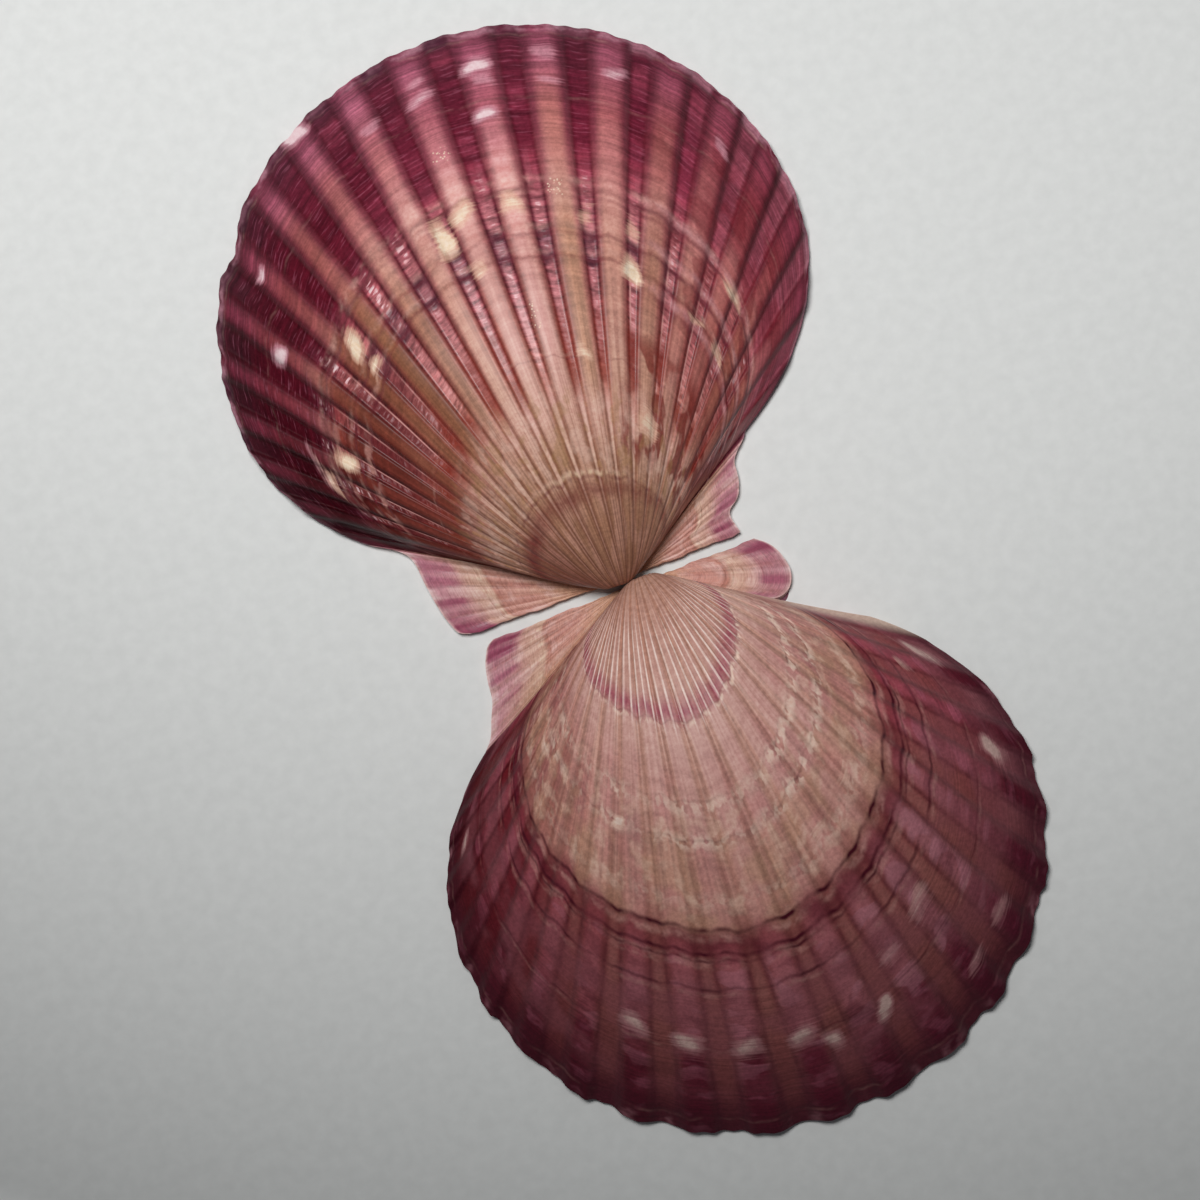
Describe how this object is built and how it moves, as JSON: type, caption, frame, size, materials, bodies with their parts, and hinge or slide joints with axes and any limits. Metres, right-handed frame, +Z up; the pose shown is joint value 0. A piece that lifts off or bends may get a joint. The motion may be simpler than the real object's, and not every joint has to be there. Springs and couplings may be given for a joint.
{
  "type": "scallop shell",
  "caption": "Opened scallop shell: fan-shaped, radially ribbed valves with hinge ears, lying outside up with their hinge edges together.",
  "frame": {"origin": "on the table, under the middle of the opened shell's bounding box", "axes": "+X along the hinge, +Y from the hinge to the left valve's margin, +Z up, the way the outsides of both valves face"},
  "size_m": [0.0738, 0.1338, 0.015],
  "materials": {
    "left_shell": "satin",
    "right_shell": "satin"
  },
  "bodies": {
    "root": {"left_valve": "left_shell", "right_valve": "right_shell"}
  },
  "joints": []
}
